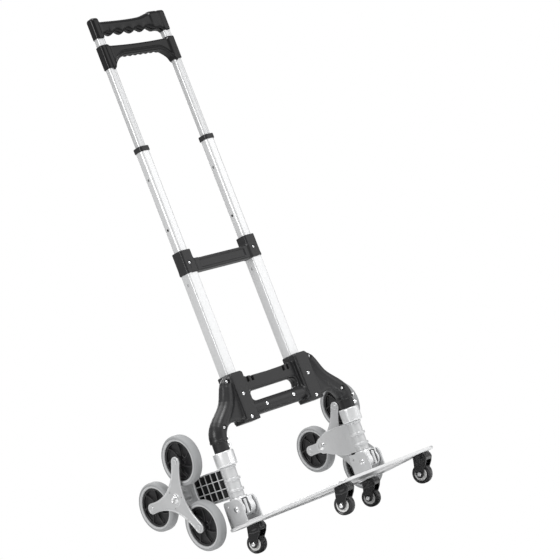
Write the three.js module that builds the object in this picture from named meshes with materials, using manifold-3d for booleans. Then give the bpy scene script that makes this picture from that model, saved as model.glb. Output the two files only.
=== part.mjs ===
// Stair climbing trolley: a telescopic two-leg hand truck on two three-wheel
// stair sets and a folding toe plate with four swivel casters.
// Millimetres. +Z up, the toe plate points to -Y, the stair wheels are at +Y.
// "left" is -X and "right" is +X.
// The trolley stands on its four casters; the floor is z = 0.
import * as THREE from "three";
import { mergeVertices } from "three/addons/utils/BufferGeometryUtils.js";
import Module from "manifold-3d";

const wasm = await Module();
wasm.setup();

// ---------------------------------------------------------------- dimensions
const GAP = 0.3; // between touching pieces
const LEG_LEAN = 5.4; // degrees the legs lean over the toe plate
const LEG_ORIGIN = [0, -16.466, 252.6]; // origin of the legs' own frame above the floor

const COLUMN_LEAN = 2.83; // degrees the tubes lean back from the posts
const COLUMN_PIVOT = [19.5, 50]; // y, z where that lean starts
const LEG_X = 91.5, // leg centre line
  LEG_Y = 19.5;
const OUTER = { w: 27.0, d: 26.2, wall: 1.2, r: 4.0, z0: 5, z1: 360 };
const MID = { w: 23.8, d: 22.4, wall: 1.2, r: 6.0, z0: 265, z1: 592 };
const INNER = { w: 18.6, d: 16.6, wall: 1.1, r: 4.5, z0: 496, z1: 863 };
const HOLE_R = 2.7; // adjustment holes
const HOLES_MID = [413.7, 523.4];
const LOCK_Z = 294; // lock button height

const COLLAR = { z0: 316, z1: 365, w: 30.6, d: 29.8, barTop: 344.6 };
const BUSH = { z0: 583.5, z1: 594.5, w: 27, d: 25.6 };
const YOKE = { z0: 768.3, z1: 820, w: 22.4, d: 21.6 };
const HANDLE = { z0: 832.3, z1: 881, w: 22.4, d: 22.4 };

const POST_X = 184.5, // post axis
  POST_Y = 7;
const ARM_R = 16.5;
const ARM_END = -43.7;
const SPLIT_Y = 14; // parting plane of the bracket shells
const PIN_R = 8;
const HINGE_Y = 0, // toe plate hinge axis, in the legs' frame
  HINGE_Z = -159.3;

const HUB_Y = 112.5, // three-wheel hub
  HUB_Z = -102.2;
const WHEEL_X = 232.6; // mid plane of the stair wheels
const STAR_R = 78.6; // hub to wheel axle
const STAR_ANGLES = [62.2, 182.2, -57.8]; // degrees from the front, upwards
const STAR_NAMES = ["top", "rear", "low"];
const TYRE_R = 51,
  TYRE_IN = 40.4,
  TYRE_HALF = 11;
const WHEEL_SEG = 18, // facets round a stair wheel and a caster wheel
  CASTER_SEG = 16;

const PLATE_TOP = 63.1, // above the floor
  PLATE_T = 2.2,
  PANEL_TOP = 63.8;
const CASTER_REAR = [169.8, 19.3],
  CASTER_FRONT = [115.6, -194.8];
const CASTER_TURN = 15.5; // degrees, how the casters trail at rest
const TRAIL = 14.5,
  CASTER_R = 20;

// ------------------------------------------------------------------- helpers
function solid(geometry) {
  const flat = geometry.index ? geometry.toNonIndexed() : geometry;
  const bare = new THREE.BufferGeometry().setAttribute(
    "position",
    flat.getAttribute("position"),
  );
  const merged = mergeVertices(bare, 1e-4);
  const src = merged.index.array;
  const tris = [];
  for (let i = 0; i < src.length; i += 3) {
    const [a, b, c] = [src[i], src[i + 1], src[i + 2]];
    if (a !== b && b !== c && a !== c) tris.push(a, b, c);
  }
  const make = (t) =>
    new wasm.Manifold(
      new wasm.Mesh({
        numProp: 3,
        vertProperties: merged.attributes.position.array,
        triVerts: new Uint32Array(t),
      }),
    );
  let made = make(tris);
  if (made.volume() < 0) {
    for (let i = 0; i < tris.length; i += 3)
      [tris[i + 1], tris[i + 2]] = [tris[i + 2], tris[i + 1]];
    made = make(tris);
  }
  return made;
}
function geometryOf(man) {
  const mesh = man.getMesh();
  const g = new THREE.BufferGeometry();
  g.setAttribute("position", new THREE.Float32BufferAttribute(mesh.vertProperties, 3));
  g.setIndex(new THREE.Uint32BufferAttribute(mesh.triVerts, 1));
  g.computeVertexNormals();
  return g;
}
const join = (...list) => list.reduce((a, b) => a.add(b));
const cut = (a, ...list) => list.reduce((m, b) => m.subtract(b), a);

function box(x0, x1, y0, y1, z0, z1) {
  const g = new THREE.BoxGeometry(x1 - x0, y1 - y0, z1 - z0);
  g.translate((x0 + x1) / 2, (y0 + y1) / 2, (z0 + z1) / 2);
  return solid(g);
}
// Cylinder along "x", "y" or "z" from a0 to a1; c1, c2 are the other two coordinates.
function cyl(axis, r0, a0, a1, c1, c2, seg = 20, r1 = r0) {
  const g = new THREE.CylinderGeometry(r1, r0, a1 - a0, seg);
  if (axis === "z") g.rotateX(Math.PI / 2);
  if (axis === "x") g.rotateZ(-Math.PI / 2);
  const m = (a0 + a1) / 2;
  if (axis === "x") g.translate(m, c1, c2);
  if (axis === "y") g.translate(c1, m, c2);
  if (axis === "z") g.translate(c1, c2, m);
  return solid(g);
}
// Polygon extruded along "x" (points y, z), "y" (points x, z) or "z" (points x, y).
function prismGeometry(axis, pts, a0, a1, holes = []) {
  const shape = new THREE.Shape(pts.map((p) => new THREE.Vector2(p[0], p[1])));
  for (const h of holes)
    shape.holes.push(new THREE.Path(h.map((p) => new THREE.Vector2(p[0], p[1]))));
  const g = new THREE.ExtrudeGeometry(shape, { depth: a1 - a0, bevelEnabled: false });
  if (axis === "z") g.translate(0, 0, a0);
  if (axis === "y") {
    g.rotateX(Math.PI / 2);
    g.translate(0, a1, 0);
  }
  if (axis === "x") {
    g.applyMatrix4(new THREE.Matrix4().set(0, 0, 1, a0, 1, 0, 0, 0, 0, 1, 0, 0, 0, 0, 0, 1));
  }
  return g;
}
const prism = (...a) => solid(prismGeometry(...a));
// Rounded rectangle of width w and depth d about (cx, cy).
function rrect(w, d, r, cx = 0, cy = 0, seg = 3) {
  const out = [];
  const corner = [
    [w / 2 - r, d / 2 - r, 0],
    [-w / 2 + r, d / 2 - r, 90],
    [-w / 2 + r, -d / 2 + r, 180],
    [w / 2 - r, -d / 2 + r, 270],
  ];
  for (const [x, y, a] of corner)
    for (let i = 0; i <= seg; i++) {
      const t = ((a + (90 * i) / seg) * Math.PI) / 180;
      out.push([cx + x + r * Math.cos(t), cy + y + r * Math.sin(t)]);
    }
  return out;
}
// Turned shape: profile points (radius, height along the axis), closed on itself.
function turned(axis, profile, c1, c2, seg = 20) {
  const pts = profile.map((p) => new THREE.Vector2(p[0], p[1]));
  pts.push(pts[0].clone());
  const g = new THREE.LatheGeometry(pts, seg);
  if (axis === "z") g.rotateX(Math.PI / 2);
  if (axis === "x") g.rotateZ(-Math.PI / 2);
  if (axis === "x") g.translate(0, c1, c2);
  if (axis === "z") g.translate(c1, c2, 0);
  return solid(g);
}
// Round bar of changing radius along points (x, z, r) in the plane y = cy.
function bar(points, cy, seg = 16) {
  const pos = [];
  const rings = points.map(([x, z, r], i) => {
    const a = points[Math.max(0, i - 1)];
    const b = points[Math.min(points.length - 1, i + 1)];
    const t = new THREE.Vector2(b[0] - a[0], b[1] - a[1]).normalize();
    const ring = [];
    for (let k = 0; k < seg; k++) {
      const u = (2 * Math.PI * k) / seg;
      ring.push([
        x - t.y * r * Math.cos(u),
        cy + r * Math.sin(u),
        z + t.x * r * Math.cos(u),
      ]);
    }
    return { ring, c: [x, cy, z] };
  });
  const tri = (a, b, c) => pos.push(...a, ...b, ...c);
  for (let i = 0; i + 1 < rings.length; i++)
    for (let k = 0; k < seg; k++) {
      const k2 = (k + 1) % seg;
      const [a, b] = [rings[i].ring, rings[i + 1].ring];
      tri(a[k], a[k2], b[k2]);
      tri(a[k], b[k2], b[k]);
    }
  const [first, last] = [rings[0], rings[rings.length - 1]];
  for (let k = 0; k < seg; k++) {
    const k2 = (k + 1) % seg;
    tri(first.c, first.ring[k2], first.ring[k]);
    tri(last.c, last.ring[k], last.ring[k2]);
  }
  const g = new THREE.BufferGeometry();
  g.setAttribute("position", new THREE.Float32BufferAttribute(pos, 3));
  return solid(g);
}
const mirrorX = (pts) => pts.map(([x, z, r]) => [-x, z, r]);

// ----------------------------------------------------------------- materials
const mat = (color, roughness, metalness) =>
  new THREE.MeshStandardMaterial({ color, roughness, metalness });
const BLACK = mat(0x2e2e30, 0.55, 0);
const GRIP = mat(0x1d1d1e, 0.5, 0);
const ALU = mat(0xc9cbcd, 0.35, 1);
const CAST = mat(0x9da0a2, 0.45, 0.9);
const CHROME = mat(0xe2e3e5, 0.18, 1);
const TYRE = mat(0x8a8b8c, 0.75, 0);
const RIM = mat(0x1b1b1c, 0.55, 0);
const SHEET = mat(0xc2c4c6, 0.4, 1);
const CASTER_TYRE = mat(0x222224, 0.6, 0);
const CASTER_CORE = mat(0xe4e4e2, 0.4, 0);

// ------------------------------------------------------------------- groups
const trolley = new THREE.Group();
const legs = new THREE.Group(); // frame of the legs: leans forward over the toe plate
legs.position.set(...LEG_ORIGIN);
legs.rotation.x = (LEG_LEAN * Math.PI) / 180;
const deck = new THREE.Group(); // level with the floor
deck.position.set(0, LEG_ORIGIN[1], 0);
trolley.add(legs, deck);
const column = new THREE.Group(); // the telescopic tubes and what they carry
column.position.set(0, ...COLUMN_PIVOT);
column.rotation.x = (-COLUMN_LEAN * Math.PI) / 180;
const tubes = new THREE.Group();
tubes.position.set(0, -COLUMN_PIVOT[0], -COLUMN_PIVOT[1]);
legs.add(column);
column.add(tubes);
// The same lean for a solid of the bracket.
const leaned = (man) =>
  man
    .translate([0, -COLUMN_PIVOT[0], -COLUMN_PIVOT[1]])
    .rotate([-COLUMN_LEAN, 0, 0])
    .translate([0, COLUMN_PIVOT[0], COLUMN_PIVOT[1]]);

function add(group, name, geometry, material) {
  const g = geometry.isBufferGeometry ? geometry : geometryOf(geometry);
  const m = new THREE.Mesh(g, material);
  m.name = name;
  group.add(m);
  return m;
}
const SIDES = [
  ["left", -1],
  ["right", 1],
];

// -------------------------------------------------------------- base bracket
// Crossbar plate with the hand slot, seen from the front (x, z).
const slot = rrect(126, 22, 10.9, 0, 42, 4);
const crossbar = leaned(prism(
  "y",
  [
    [-78, 8],
    [78, 8],
    [78, 84],
    [60, 84],
    [40, 82.5],
    [-40, 82.5],
    [-60, 84],
    [-78, 84],
  ],
  5,
  24,
  [slot],
));
const lowerBar = leaned(cyl("x", 15.2, -78, 78, 12, 17, 16));
const WEB = [
  [110, 92],
  [118, 88],
  [124, 74],
  [134, 56],
  [150, 38],
  [170, 22],
  [186, 6],
  [184, -10],
  [170, -9],
  [163, -1],
  [150, 4.5],
  [134, 6],
  [120, 3],
  [110, 3],
];
const ARM = [
  [109, 89, 7],
  [117.1, 76.9, 8.5],
  [122.7, 62.2, 10],
  [133.2, 41.6, 12.5],
  [148.6, 25.3, 14.5],
  [166.8, 10.6, 16],
  [178.4, -2, ARM_R],
  [184, -14.5, ARM_R],
  [POST_X, -30, ARM_R],
  [POST_X, ARM_END, ARM_R],
];
function bracketHalf(s) {
  const web = prism(
    "y",
    s > 0 ? WEB : mirrorX(WEB).reverse(),
    -3,
    20,
  );
  const arm = bar(s > 0 ? ARM : mirrorX(ARM), POST_Y, 12);
  const xs = [s * 75, s * 112].sort((a, b) => a - b);
  const housing = leaned(prism(
    "z",
    rrect(37, 44, 6, s * 93.5, 14, 2),
    -3,
    97,
  ));
  const foot = leaned(box(
    Math.min(s * 70, s * 116),
    Math.max(s * 70, s * 116),
    -4,
    26,
    -6,
    4,
  ));
  return join(web, arm, housing, foot);
}
const legCavity = (s) =>
  leaned(box(
    s * LEG_X - OUTER.w / 2 - GAP,
    s * LEG_X + OUTER.w / 2 + GAP,
    LEG_Y - OUTER.d / 2 - GAP,
    LEG_Y + OUTER.d / 2 + GAP,
    OUTER.z0 - GAP,
    120,
  ));
const pinBore = (s) =>
  cyl("z", PIN_R + GAP, ARM_END - 5, -21.2, s * POST_X, POST_Y, 16);
const notch = (x) => leaned(box(x - 2.6, x + 2.6, 0, 30, 72, 90));
const bracket = cut(
  join(crossbar, lowerBar, bracketHalf(-1), bracketHalf(1)),
  legCavity(-1),
  legCavity(1),
  pinBore(-1),
  pinBore(1),
  notch(-58),
  notch(-45),
  notch(45),
  notch(58),
);
const FAR = 400;
add(
  legs,
  "base_bracket_front",
  bracket.intersect(box(-FAR, FAR, -FAR, SPLIT_Y, -FAR, FAR)),
  BLACK,
);
add(
  legs,
  "base_bracket_rear",
  bracket.intersect(box(-FAR, FAR, SPLIT_Y + GAP, FAR, -FAR, FAR)),
  BLACK,
);

// ------------------------------------------------------------ telescopic legs
function legTube(t, x) {
  return prism(
    "z",
    rrect(t.w, t.d, t.r, x, LEG_Y, 3),
    t.z0,
    t.z1,
    [
      rrect(
        t.w - 2 * t.wall,
        t.d - 2 * t.wall,
        Math.max(0.6, t.r - t.wall),
        x,
        LEG_Y,
        3,
      ),
    ],
  );
}
for (const [side, s] of SIDES) {
  const x = s * LEG_X;
  // The adjustment holes are on the -X face of both legs.
  const hole = (t, z, r = HOLE_R) =>
    cyl("x", r, x - t.w / 2 - 1, x - t.w / 2 + 2.2, LEG_Y, z, 10);
  add(
    tubes,
    "outer_tube_" + side,
    cut(legTube(OUTER, x), hole(OUTER, LOCK_Z, 3.1)),
    ALU,
  );
  add(
    tubes,
    "mid_tube_" + side,
    cut(
      legTube(MID, x),
      hole(MID, LOCK_Z, 3.0),
      ...HOLES_MID.map((z) => hole(MID, z)),
    ),
    ALU,
  );
  add(tubes, "inner_tube_" + side, prismGeometry(
    "z",
    rrect(INNER.w, INNER.d, INNER.r, x, LEG_Y, 3),
    INNER.z0,
    INNER.z1,
    [
      rrect(
        INNER.w - 2 * INNER.wall,
        INNER.d - 2 * INNER.wall,
        INNER.r - INNER.wall,
        x,
        LEG_Y,
        3,
      ),
    ],
  ), ALU);
  // Lock button: a pin on a leaf spring inside the middle tube.
  const face = x - MID.w / 2 - 0.1;
  add(
    tubes,
    "lock_button_" + side,
    join(
      cyl("x", 2.6, face, face + 5, LEG_Y, LOCK_Z, 10),
      box(face + 4.6, face + 5.8, LEG_Y - 3, LEG_Y + 3, LOCK_Z - 14, LOCK_Z + 6),
    ),
    CHROME,
  );
  // Guide bushing on top of the middle tube.
  add(
    tubes,
    "mid_bushing_" + side,
    cut(
      prism("z", rrect(BUSH.w, BUSH.d, 6, x, LEG_Y, 3), BUSH.z0, BUSH.z1),
      prism(
        "z",
        rrect(MID.w + 2 * GAP, MID.d + 2 * GAP, MID.r, x, LEG_Y, 3),
        BUSH.z0 - 2,
        MID.z1 + GAP,
      ),
      prism(
        "z",
        rrect(INNER.w + 2 * GAP, INNER.d + 2 * GAP, INNER.r, x, LEG_Y, 3),
        BUSH.z0,
        BUSH.z1 + 2,
      ),
    ),
    BLACK,
  );
}

// -------------------------------------------------------------- middle collar
{
  const parts = [
    prism(
      "x",
      rrect(24, COLLAR.barTop - COLLAR.z0, 3, LEG_Y - 1, (COLLAR.z0 + COLLAR.barTop) / 2, 2),
      -LEG_X,
      LEG_X,
    ),
  ];
  for (const [, s] of SIDES)
    parts.push(
      prism(
        "z",
        rrect(COLLAR.w, COLLAR.d, 4, s * LEG_X, LEG_Y, 3),
        COLLAR.z0,
        COLLAR.z1,
      ),
    );
  let collar = join(...parts);
  for (const [, s] of SIDES)
    collar = cut(
      collar,
      prism(
        "z",
        rrect(OUTER.w + 2 * GAP, OUTER.d + 2 * GAP, OUTER.r, s * LEG_X, LEG_Y, 3),
        COLLAR.z0 - 2,
        OUTER.z1 + GAP,
      ),
      prism(
        "z",
        rrect(MID.w + 2 * GAP, MID.d + 2 * GAP, MID.r, s * LEG_X, LEG_Y, 3),
        COLLAR.z0,
        COLLAR.z1 + 2,
      ),
    );
  add(tubes, "middle_collar", collar, BLACK);
}

// --------------------------------------------------- release yoke and handle
{
  const arch = [
    [-82, 817.6],
    [-82, 773.6],
    [-76, 779.6],
    [-66, 787.6],
    [-52, 792.1],
    [-30, 793.1],
    [-18, 791.6],
    [0, 793.1],
    [18, 791.6],
    [30, 793.1],
    [52, 792.1],
    [66, 787.6],
    [76, 779.6],
    [82, 773.6],
    [82, 817.6],
    [40, 815.6],
    [0, 814.6],
    [-40, 815.6],
  ];
  let yoke = prism("y", arch, LEG_Y - 9.5, LEG_Y + 9.5);
  for (const [, s] of SIDES)
    yoke = yoke.add(
      prism(
        "z",
        rrect(YOKE.w, YOKE.d, 6, s * LEG_X, LEG_Y, 3),
        YOKE.z0,
        YOKE.z1,
      ),
    );
  for (const [, s] of SIDES)
    yoke = yoke.subtract(
      prism(
        "z",
        rrect(INNER.w + 2 * GAP, INNER.d + 2 * GAP, INNER.r, s * LEG_X, LEG_Y, 3),
        YOKE.z0 - 2,
        YOKE.z1 + 2,
      ),
    );
  add(tubes, "release_yoke", yoke, BLACK);

  const grip = prism(
    "y",
    [
      [-84, 872.4],
      [-84, 841.4],
      [-72, 844.4],
      [-60, 841.4],
      [-46, 844.9],
      [-32, 841.4],
      [-18, 844.9],
      [-4, 841.4],
      [12, 844.9],
      [40, 843.4],
      [64, 841.4],
      [74, 836.4],
      [84, 834.4],
      [84, 879.4],
      [64, 879.4],
      [24, 872.4],
    ],
    LEG_Y - 11,
    LEG_Y + 11,
  );
  const section = prism(
    "x",
    rrect(22, 46, 8, LEG_Y, 857.6, 3),
    -90,
    90,
  );
  let handle = grip.intersect(section);
  for (const [, s] of SIDES)
    handle = handle.add(
      join(
        prism(
          "z",
          rrect(HANDLE.w, HANDLE.d, 7, s * LEG_X, LEG_Y, 3),
          HANDLE.z0,
          HANDLE.z1 - 4,
        ),
        prism(
          "z",
          rrect(HANDLE.w - 6, HANDLE.d - 6, 6, s * LEG_X, LEG_Y, 3),
          HANDLE.z1 - 4.5,
          HANDLE.z1,
        ),
      ),
    );
  for (const [, s] of SIDES)
    handle = handle.subtract(
      prism(
        "z",
        rrect(INNER.w + 2 * GAP, INNER.d + 2 * GAP, INNER.r, s * LEG_X, LEG_Y, 3),
        HANDLE.z0 - 2,
        INNER.z1 + GAP,
      ),
    );
  add(tubes, "top_handle", handle, GRIP);
}

// --------------------------------------------------------- posts and hinges
const COLLAR_Z = [-73.5, ARM_END - GAP];
const BARREL_Z = [-136.6, COLLAR_Z[0] - GAP];
for (const [side, s] of SIDES) {
  const x = s * POST_X;
  const eye = (r, a, b, seg = 14) => cyl("x", r, a, b, HINGE_Y, HINGE_Z, seg);
  // Post: pin through the barrel, lower flange and the hinge block.
  const block = join(
    box(x - 16.5, x + 16.5, -14, 20, HINGE_Z, -140),
    eye(17, x - 16.5, x + 16.5, 14),
    box(x - 16.5, x + 16.5, 6, 20, HINGE_Z - 8, -141),
  );
  add(
    legs,
    "post_" + side,
    cut(
      join(
        cyl("z", PIN_R, -140.5, -21.6, x, POST_Y, 16),
        cyl("z", 18, -140.5, -136.9, x, POST_Y, 16),
        block,
      ),
      eye(3.9, x - 30, x + 30, 12),
    ),
    ALU,
  );
  add(
    legs,
    "post_collar_" + side,
    turned(
      "z",
      [
        [PIN_R + GAP, COLLAR_Z[0]],
        [20.6, COLLAR_Z[0]],
        [21.4, COLLAR_Z[0] + 1.5],
        [21.4, COLLAR_Z[1] - 1.5],
        [20.6, COLLAR_Z[1]],
        [PIN_R + GAP, COLLAR_Z[1]],
      ],
      x,
      POST_Y,
      16,
    ),
    CHROME,
  );

  // Swing bracket: barrel on the post pin, ribbed arm and hub boss.
  const o = s; // outer side
  const inner = x - o * 7,
    outer = x + o * 21;
  const [xa, xb] = [Math.min(inner, outer), Math.max(inner, outer)];
  const armOutline = [
    [POST_Y, -136.6],
    [POST_Y, BARREL_Z[1]],
    [90, -75.6],
    [105, -81],
    [119, -86],
    [128, -93],
    [131, -102.2],
    [128, -111],
    [119, -118],
    [107, -120],
    [94, -125],
    [55, -136.6],
  ];
  let swing = join(
    prism("x", armOutline, xa, xb),
    cyl("z", 14, BARREL_Z[0], BARREL_Z[1], x, POST_Y, 14),
    cyl("z", 17, -103.5, -98.5, x, POST_Y, 14),
    cyl("z", 17, -125.5, -120.5, x, POST_Y, 14),
    cyl("x", 13, Math.min(x - o * 7, x + o * 28), Math.max(x - o * 7, x + o * 28), HUB_Y, HUB_Z, 18),
  );
  const pockets = [];
  const rows = [
    [-95, -79],
    [-115, -99],
    [-133, -119],
  ];
  const cols = [
    [26, 44],
    [48, 66],
    [70, 88],
  ];
  rows.forEach(([z0, z1], r) =>
    cols.forEach(([y0, y1], c) => {
      if (r === 2 && c > 0) return;
      const [p, q] = [outer - o * 10, outer + o * 2];
      pockets.push(box(Math.min(p, q), Math.max(p, q), y0, y1, z0, z1));
    }),
  );
  swing = cut(
    swing,
    ...pockets,
    cyl("z", PIN_R + GAP, -150, -60, x, POST_Y, 16),
    cyl("x", 6.3, x - 60, x + 60, HUB_Y, HUB_Z, 14),
  );
  add(legs, "swing_bracket_" + side, swing, CAST);

  // Hub axle through the boss, with a head at each end.
  const at = (d) => s * d;
  const span = (a, b) => [Math.min(at(a), at(b)), Math.max(at(a), at(b))];
  const [h0, h1] = span(172.6, 177.2);
  const [s0, s1] = span(174, 254);
  const [c0, c1] = span(251.7, 256.5);
  add(
    legs,
    "hub_axle_" + side,
    join(
      cyl("x", 8, h0, h1, HUB_Y, HUB_Z, 12),
      cyl("x", 6, s0, s1, HUB_Y, HUB_Z, 14),
      cyl("x", 8.5, c0, c1, HUB_Y, HUB_Z, 14),
    ),
    CHROME,
  );

  // Three-arm spiders. The outer one carries the wheel axles.
  const star = STAR_ANGLES.map((a) => {
    const t = (a * Math.PI) / 180;
    return [-Math.cos(t), Math.sin(t)];
  });
  const shape = [];
  const TIP = 11;
  star.forEach(([cy, cz], i) => {
    const ang = Math.atan2(cz, cy);
    const next = star[(i + 1) % 3];
    // Arc round the tip, then a concave run to the next arm.
    const turn = Math.sign(cy * next[1] - cz * next[0]);
    for (let k = 0; k <= 4; k++) {
      const a = ang + turn * (-90 + 45 * k) * (Math.PI / 180);
      shape.push([
        HUB_Y + STAR_R * cy + TIP * Math.cos(a),
        HUB_Z + STAR_R * cz + TIP * Math.sin(a),
      ]);
    }
    const e1 = shape[shape.length - 1];
    const angN = Math.atan2(next[1], next[0]);
    const a2 = angN - (turn * Math.PI) / 2;
    const e2 = [
      HUB_Y + STAR_R * next[0] + TIP * Math.cos(a2),
      HUB_Z + STAR_R * next[1] + TIP * Math.sin(a2),
    ];
    const bis = [cy + next[0], cz + next[1]];
    const n = Math.hypot(...bis);
    const c = [HUB_Y + (5 * bis[0]) / n, HUB_Z + (5 * bis[1]) / n];
    for (let k = 1; k < 6; k++) {
      const t = k / 6;
      shape.push([
        (1 - t) ** 2 * e1[0] + 2 * t * (1 - t) * c[0] + t * t * e2[0],
        (1 - t) ** 2 * e1[1] + 2 * t * (1 - t) * c[1] + t * t * e2[1],
      ]);
    }
  });
  const seat = (r, a, b, seg) => {
    const [p, q] = span(a, b);
    return cyl("x", r, p, q, HUB_Y, HUB_Z, seg);
  };
  const [i0, i1] = span(214, 217.2);
  add(
    legs,
    "spider_inner_" + side,
    cut(
      join(prism("x", shape, i0, i1), seat(11, 214, 247.8, 16)),
      seat(6.4, 200, 260, 14),
    ),
    CAST,
  );
  const [o0, o1] = span(248.1, 251.4);
  let outerSpider = cut(prism("x", shape, o0, o1), seat(6.4, 200, 260, 14));
  star.forEach(([cy, cz], i) => {
    const y = HUB_Y + STAR_R * cy,
      z = HUB_Z + STAR_R * cz;
    const [a0, a1] = span(217.5, 249);
    const [b0, b1] = span(251, 253);
    outerSpider = join(
      outerSpider,
      cyl("x", 4, a0, a1, y, z, 8),
      cyl("x", 5.5, b0, b1, y, z, 10),
    );
    // Wheel: grey tyre on a black rim.
    const wx = at(WHEEL_X);
    const w = (r, x2) => [r, wx + x2];
    add(
      legs,
      `tyre_${STAR_NAMES[i]}_${side}`,
      turned(
        "x",
        [
          w(TYRE_IN, -9.5),
          w(46.5, -TYRE_HALF),
          w(TYRE_R, -6),
          w(TYRE_R, 6),
          w(46.5, TYRE_HALF),
          w(TYRE_IN, 9.5),
        ],
        y,
        z,
        WHEEL_SEG,
      ),
      TYRE,
    );
    add(
      legs,
      `rim_${STAR_NAMES[i]}_${side}`,
      turned(
        "x",
        [
          w(4.4, -14),
          w(11, -14),
          w(12, -4),
          w(39.9, -6),
          w(39.9, 6),
          w(12, 4),
          w(11, 14),
          w(4.4, 14),
        ],
        y,
        z,
        WHEEL_SEG,
      ),
      RIM,
    );
  });
  add(legs, "spider_outer_" + side, outerSpider, CAST);

  // Toe plate hinge bracket: two ears and a base, standing on the plate.
  const lean = Math.tan((LEG_LEAN * Math.PI) / 180);
  const cosL = Math.cos((LEG_LEAN * Math.PI) / 180);
  const plateZ = (y) =>
    (PLATE_TOP + GAP - LEG_ORIGIN[2]) / cosL - lean * y;
  const ear = [
    [33, plateZ(33)],
    [33, -144],
    [28, -139.4],
    [-12, -139.4],
    [-19, -144],
    [-21, -152],
    [-21, plateZ(-21)],
  ];
  const floorOutline = [
    [33, plateZ(33)],
    [33, plateZ(33) + 2.5],
    [-21, plateZ(-21) + 2.5],
    [-21, plateZ(-21)],
  ];
  add(
    legs,
    "hinge_bracket_" + side,
    cut(
      join(
        prism("x", ear, x - 21.5, x - 18.9),
        prism("x", ear, x + 18.9, x + 21.5),
        prism("x", floorOutline, x - 20, x + 20),
      ),
      eye(3.9, x - 30, x + 30, 12),
    ),
    CAST,
  );
  add(
    legs,
    "hinge_pin_" + side,
    join(
      eye(3.5, x - 23, x + 23, 12),
      eye(6, x - 24.3, x - 21.8, 12),
      eye(6, x + 21.8, x + 24.3, 12),
    ),
    CHROME,
  );
}

// ------------------------------------------------------------------ toe plate
const PLATE = [
  [-198, 52],
  [-216, 44],
  [-226, 30],
  [-227, 16],
  [-141, -206],
  [-135, -214],
  [-124, -218],
  [124, -218],
  [135, -214],
  [141, -206],
  [227, 16],
  [226, 30],
  [216, 44],
  [198, 52],
];
const PANEL = [
  [-186, -46],
  [-128, -192],
  [-118, -200],
  [118, -200],
  [128, -192],
  [186, -46],
];
const inset = (pts, k) =>
  pts.map(([x, y]) => {
    const cy = -60;
    return [x * (1 - k / 190), cy + (y - cy) * (1 - k / 130)];
  });
add(
  deck,
  "toe_plate",
  join(
    prism("z", PLATE, PLATE_TOP - PLATE_T, PLATE_TOP),
    prism("z", PLATE, PLATE_TOP - 6, PLATE_TOP - PLATE_T + 0.2, [
      inset(PLATE, 3),
    ]),
    // Raised panel that the load rests on.
    prism("z", PANEL, PLATE_TOP - 0.5, PANEL_TOP),
  ),
  SHEET,
);

// -------------------------------------------------------------------- casters
for (const [place, [cx, cy]] of [
  ["rear", CASTER_REAR],
  ["front", CASTER_FRONT],
])
  for (const [side, s] of SIDES) {
    const at = new THREE.Group();
    at.position.set(s * cx, cy, 0);
    deck.add(at);
    const under = PLATE_TOP - PLATE_T - GAP;
    add(
      at,
      `caster_mount_${place}_${side}`,
      join(
        prism("z", rrect(36, 30, 4, 0, 0, 1), under - 2.4, under),
        cyl("z", 4, 43, under - 1, 0, 0, 12),
        cyl("z", 7, 42, 45.2, 0, 0, 12),
      ),
      CHROME,
    );
    const swivel = new THREE.Group();
    swivel.rotation.z = (CASTER_TURN * Math.PI) / 180;
    at.add(swivel);
    const leg = (x0, x1) =>
      prism(
        "x",
        [
          [-12, 56.8],
          [-14, 47],
          [-8, 36],
          [3, 22],
          [8.5, 13.5],
          [14.5, 12],
          [20, 15],
          [22, 21],
          [20.5, 34],
          [16, 47],
          [14, 56.8],
        ],
        x0,
        x1,
      );
    const fork = cut(
      join(
        leg(-13.6, -10.4),
        leg(10.4, 13.6),
        cyl("z", 14, 45.6, 56.8, 0, 0, 16),
        cyl("x", 3, -12.5, 12.5, TRAIL, CASTER_R, 12),
      ),
      cyl("z", 4.5, 40, 60, 0, 0, 12),
    );
    add(swivel, `caster_fork_${place}_${side}`, fork, GRIP);
    add(
      swivel,
      `caster_tyre_${place}_${side}`,
      turned(
        "x",
        [
          [13.6, -8],
          [17.5, -9.2],
          [CASTER_R, -5.6],
          [CASTER_R, 5.6],
          [17.5, 9.2],
          [13.6, 8],
        ],
        TRAIL,
        CASTER_R,
        CASTER_SEG,
      ),
      CASTER_TYRE,
    );
    add(
      swivel,
      `caster_core_${place}_${side}`,
      turned(
        "x",
        [
          [3.5, -9.8],
          [13.0, -7.6],
          [13.0, 7.6],
          [3.5, 9.8],
        ],
        TRAIL,
        CASTER_R,
        CASTER_SEG,
      ),
      CASTER_CORE,
    );
  }

export default trolley;
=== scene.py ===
# Stair climbing trolley: visual model. Metres, +Z up, same frame as the CAD.
import math

import bmesh
import bpy
import numpy as np
from mathutils import Matrix, Vector


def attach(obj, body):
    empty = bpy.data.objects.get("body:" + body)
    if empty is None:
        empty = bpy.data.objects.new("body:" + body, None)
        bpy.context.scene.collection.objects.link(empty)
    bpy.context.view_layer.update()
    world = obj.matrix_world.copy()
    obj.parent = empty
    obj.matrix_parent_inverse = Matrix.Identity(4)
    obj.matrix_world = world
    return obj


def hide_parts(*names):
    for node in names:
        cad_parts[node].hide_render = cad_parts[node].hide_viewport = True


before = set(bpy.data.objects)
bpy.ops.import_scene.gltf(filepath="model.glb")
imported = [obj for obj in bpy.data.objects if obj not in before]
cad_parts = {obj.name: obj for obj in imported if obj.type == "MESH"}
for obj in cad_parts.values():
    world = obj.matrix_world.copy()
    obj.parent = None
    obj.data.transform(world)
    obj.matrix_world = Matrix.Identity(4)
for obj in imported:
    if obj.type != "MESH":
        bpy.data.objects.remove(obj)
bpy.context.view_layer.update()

LEAN = math.radians(5.4)
MM = Matrix.Scale(0.001, 4)
LEG = Matrix.Translation((0, -0.016466, 0.2526)) @ Matrix.Rotation(LEAN, 4, "X") @ MM
DECK = Matrix.Translation((0, -0.016466, 0)) @ MM
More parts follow.
